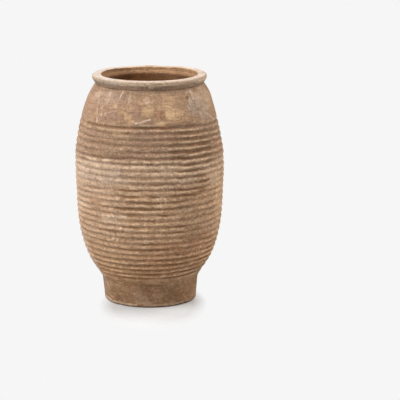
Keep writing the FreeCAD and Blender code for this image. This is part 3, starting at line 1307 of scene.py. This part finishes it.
def lumps_of(tree, spots, size, finer, detail):
    """Random value from 0 to 1, in lumps of a size that are finer along some axes."""
    squeezed = add(tree, "ShaderNodeMapping", Vector=spots, Scale=finer).outputs["Vector"]
    looks = {"Scale": 1 / size, "Detail": detail, "Roughness": lump_roughness}
    return add(tree, "ShaderNodeTexNoise", Vector=squeezed, **looks).outputs["Fac"]


def spread(tree, value, low, high, least=0.0, most=1.0):
    """Stretches the span from low to high over the span from least to most."""
    ends = {"From_Min": low, "From_Max": high, "To_Min": least, "To_Max": most}
    return add(tree, "ShaderNodeMapRange", Value=value, **ends).outputs["Result"]


def kept(tree, name):
    return add(tree, "ShaderNodeAttribute", {"attribute_name": name}).outputs["Fac"]


def shaded(tree, colour, value, least, most):
    """Colour made darker or lighter by a random value."""
    level = spread(tree, value, *shade_span, least, most)
    grey = add(tree, "ShaderNodeCombineXYZ", X=level, Y=level, Z=level).outputs["Vector"]
    return blend(tree, 1.0, colour, grey, "MULTIPLY")


def toned(tree, height, broad):
    """The jar's own tone at each height, carried up and down by broad lumps."""
    shift = reckon(tree, "MULTIPLY_ADD", broad, tone_shift_share, -tone_shift_share / 2)
    level = reckon(tree, "MULTIPLY_ADD", height, 1 / total_height, shift)
    ramp = tree.nodes.new("ShaderNodeValToRGB")
    tree.links.new(level, ramp.inputs["Fac"])
    stops = ramp.color_ramp.elements
    stops.remove(stops[1])
    stops[0].color = (*tones[0][1], 1)
    for tone_height, tone in tones[1:]:
        stops.new(tone_height / total_height).color = (*tone, 1)
    return ramp.outputs["Color"]


def clay(name, crest_dust_and_highlight, groove_dirt_and_shade, mottle, coarse, flaking):
    """Unglazed clay with its tones, grain and stains, and painted highlight and shade on its ribs and
    inside it.
    """
    material = bpy.data.materials.new(name)
    material.use_nodes = True
    tree = material.node_tree
    shader = tree.nodes["Principled BSDF"]
    spots = add(tree, "ShaderNodeTexCoord").outputs["Object"]
    height = add(tree, "ShaderNodeSeparateXYZ", Vector=spots).outputs["Z"]
    broad = lumps_of(tree, spots, *broad_lumps)
    patchy = lumps_of(tree, spots, *patchy_lumps)
    blotches = lumps_of(tree, spots, *blotchy_lumps)
    flecks = lumps_of(tree, spots, *flecked_lumps)
    grain = lumps_of(tree, spots, *grainy_lumps)
    crest = kept(tree, "crest")
    broken = spread(tree, blotches, *stain_span)
    dust_and_highlight_left = spread(tree, blotches, *dust_and_highlight_span)
    layers = [
        (spread(tree, patchy, *mauve_span, 0, mottle), mauve),
        (spread(tree, broad, *ochre_span, 0, mottle), ochre),
        (times(tree, kept(tree, "inside"), inside_share), ember),
        # Paler inner wall: painted light deep down, and a paler lip
        (kept(tree, "inner_pale_and_painted_light"), coral),
        # Painted shade and a few stains inside
        (kept(tree, "inner_shade_and_stain"), umber),
        *((times(tree, kept(tree, stain), broken), tint) for stain, (tint, _) in stains.items()),
        # Paler crests: partly dust, partly painted highlight
        (times(tree, spread(tree, crest, 0.5, 1, 0, crest_dust_and_highlight), dust_and_highlight_left), chaff),
        # Darker grooves: partly dirt, partly painted shade
        (times(tree, spread(tree, crest, 0.5, 0, 0, groove_dirt_and_shade), broken), umber),
    ]
    for fleck_span, crest_span, tint in fleck_kinds:
        on_crests = spread(tree, crest, *crest_span)
        layers.append((times(tree, spread(tree, flecks, *fleck_span), on_crests), tint))
    layers.append((kept(tree, "scratch"), chalk))
    colour = toned(tree, height, broad)
    for share, tint in layers:
        colour = blend(tree, share, colour, tint)
    flaked = times(tree, kept(tree, "battered"), flaking)
    flakes = (reckon(tree, "SUBTRACT", 1.0, flaked), reckon(tree, "ADD", 1.0, flaked))
    shades = (
        (lumps_of(tree, spots, *streaky_lumps), streak_shades),
        (blotches, blotch_shades),
        (grain, (1 - coarse, 1 + coarse)),
        (lumps_of(tree, spots, *runny_lumps), run_shades),
        (lumps_of(tree, spots, *flaky_lumps), flakes),
    )
    for value, ends in shades:
        colour = shaded(tree, colour, value, *ends)
    tree.links.new(colour, shader.inputs["Base Color"])
    shader.inputs["Roughness"].default_value = clay_roughness
    shader.inputs["Specular IOR Level"].default_value = clay_gloss
    bumps = None
    for relief, (rise, strength) in ((grain, grain_bump), (blotches, blotch_bump)):
        under = {"Normal": bumps} if bumps else {}
        bump = add(tree, "ShaderNodeBump", Height=relief, Distance=rise, Strength=strength, **under)
        bumps = bump.outputs[0]
    tree.links.new(bumps, shader.inputs["Normal"])
    return material


# Studio


def add_camera():
    bpy.ops.object.camera_add(location=camera_place, rotation=(math.pi / 2 - camera_dip, 0, 0))
    camera = bpy.context.object
    camera.data.sensor_width = film_width
    camera.data.lens = focal_pixels * film_width / frame_pixels
    camera.data.clip_end = 10 * floor_reach
    bpy.context.scene.camera = camera


def add_sun(name, turn, rise, width, strength, colour):
    """Soft lamp that shines at the jar from a turn and a height."""
    tilt = (math.radians(90 - rise), 0, math.radians(turn))
    bpy.ops.object.light_add(type="SUN", rotation=tilt)
    lamp = bpy.context.object
    lamp.name = name
    lamp.data.angle = math.radians(width)
    lamp.data.energy = strength
    lamp.data.color = colour


def shown(tree):
    """1 for rays that show the backdrop as it is: from the camera, a gloss or a glass."""
    rays = add(tree, "ShaderNodeLightPath").outputs
    seen = reckon(tree, "MAXIMUM", rays["Is Camera Ray"], rays["Is Glossy Ray"])
    return reckon(tree, "MAXIMUM", seen, rays["Is Transmission Ray"])


def add_world():
    world = bpy.data.worlds.new("studio")
    bpy.context.scene.world = world
    world.use_nodes = True
    tree = world.node_tree
    sky = tree.nodes["Background"]
    sky.inputs["Color"].default_value = (1, 1, 1, 1)
    sky.inputs["Strength"].default_value = sky_strength
    plain = add(tree, "ShaderNodeBackground", Color=(*backdrop, 1)).outputs[0]
    mixed = add(tree, "ShaderNodeMixShader", _0=shown(tree), _1=sky.outputs[0], _2=plain)
    tree.links.new(mixed.outputs[0], tree.nodes["World Output"].inputs["Surface"])


def add_floor():
    """Pale floor that fades into the backdrop away from the jar's shadow."""
    bpy.ops.object.select_all(action="DESELECT")
    bpy.ops.mesh.primitive_plane_add(size=2 * floor_reach)
    floor = bpy.context.object
    floor.name = "floor"
    material = bpy.data.materials.new("pale_floor")
    material.use_nodes = True
    tree = material.node_tree
    tree.nodes.remove(tree.nodes["Principled BSDF"])
    spots = add(tree, "ShaderNodeTexCoord").outputs["Object"]
    vector = "ShaderNodeVectorMath"
    centred = add(tree, vector, {"operation": "SUBTRACT"}, _0=spots, _1=(*shadow_centre, 0)).outputs[0]
    halves = (shadow_half_width, shadow_half_depth, 1)
    scaled = add(tree, vector, {"operation": "DIVIDE"}, _0=centred, _1=halves).outputs[0]
    away = add(tree, vector, {"operation": "LENGTH"}, _0=scaled).outputs["Value"]
    faded = spread(tree, away, shadow_full_share, 1)
    tint = blend(tree, shown(tree), floor_bounce, floor_colour)
    matt = add(tree, "ShaderNodeBsdfDiffuse", Color=tint).outputs[0]
    plain = add(tree, "ShaderNodeEmission", Color=(*backdrop, 1)).outputs[0]
    mixed = add(tree, "ShaderNodeMixShader", _0=times(tree, faded, shown(tree)), _1=matt, _2=plain)
    tree.links.new(mixed.outputs[0], tree.nodes["Material Output"].inputs["Surface"])
    floor.data.materials.append(material)


def main():
    add_camera()
    add_sun("key", *key_light)
    add_sun("fill", *fill_light)
    add_sun("top", *top_light)
    add_world()
    add_floor()
    outlines = {"base_disc": base_disc_outline(), "foot_band": foot_band_outline()}
    for stage in range(len(stage_ribs)):
        outlines[f"belly_stage_{stage + 1}"] = belly_stage_outline(stage)
    outlines["shoulder_band"] = shoulder_band_outline()
    outlines["rim_collar"] = rim_collar_outline()
    slots = {part["node"]: part["material_slot"] for part in frame["record"]["subparts"]}
    clays = {slot: clay(slot, *finish) for slot, finish in clay_finishes.items()}
    for node, outline in outlines.items():
        piece = turned(f"clay_{node}", outline, closed=node != "base_disc")
        points, inside, crest = hand_shaped(piece)
        keep_stains_and_painted_light(piece, points, inside, crest)
        bpy.ops.object.shade_smooth_by_angle(angle=sharp_edge_angle)
        piece.data.materials.append(clays[slots[node]])
        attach(piece, "root")
        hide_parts(node)
    bpy.context.scene.view_settings.view_transform = "Standard"


main()
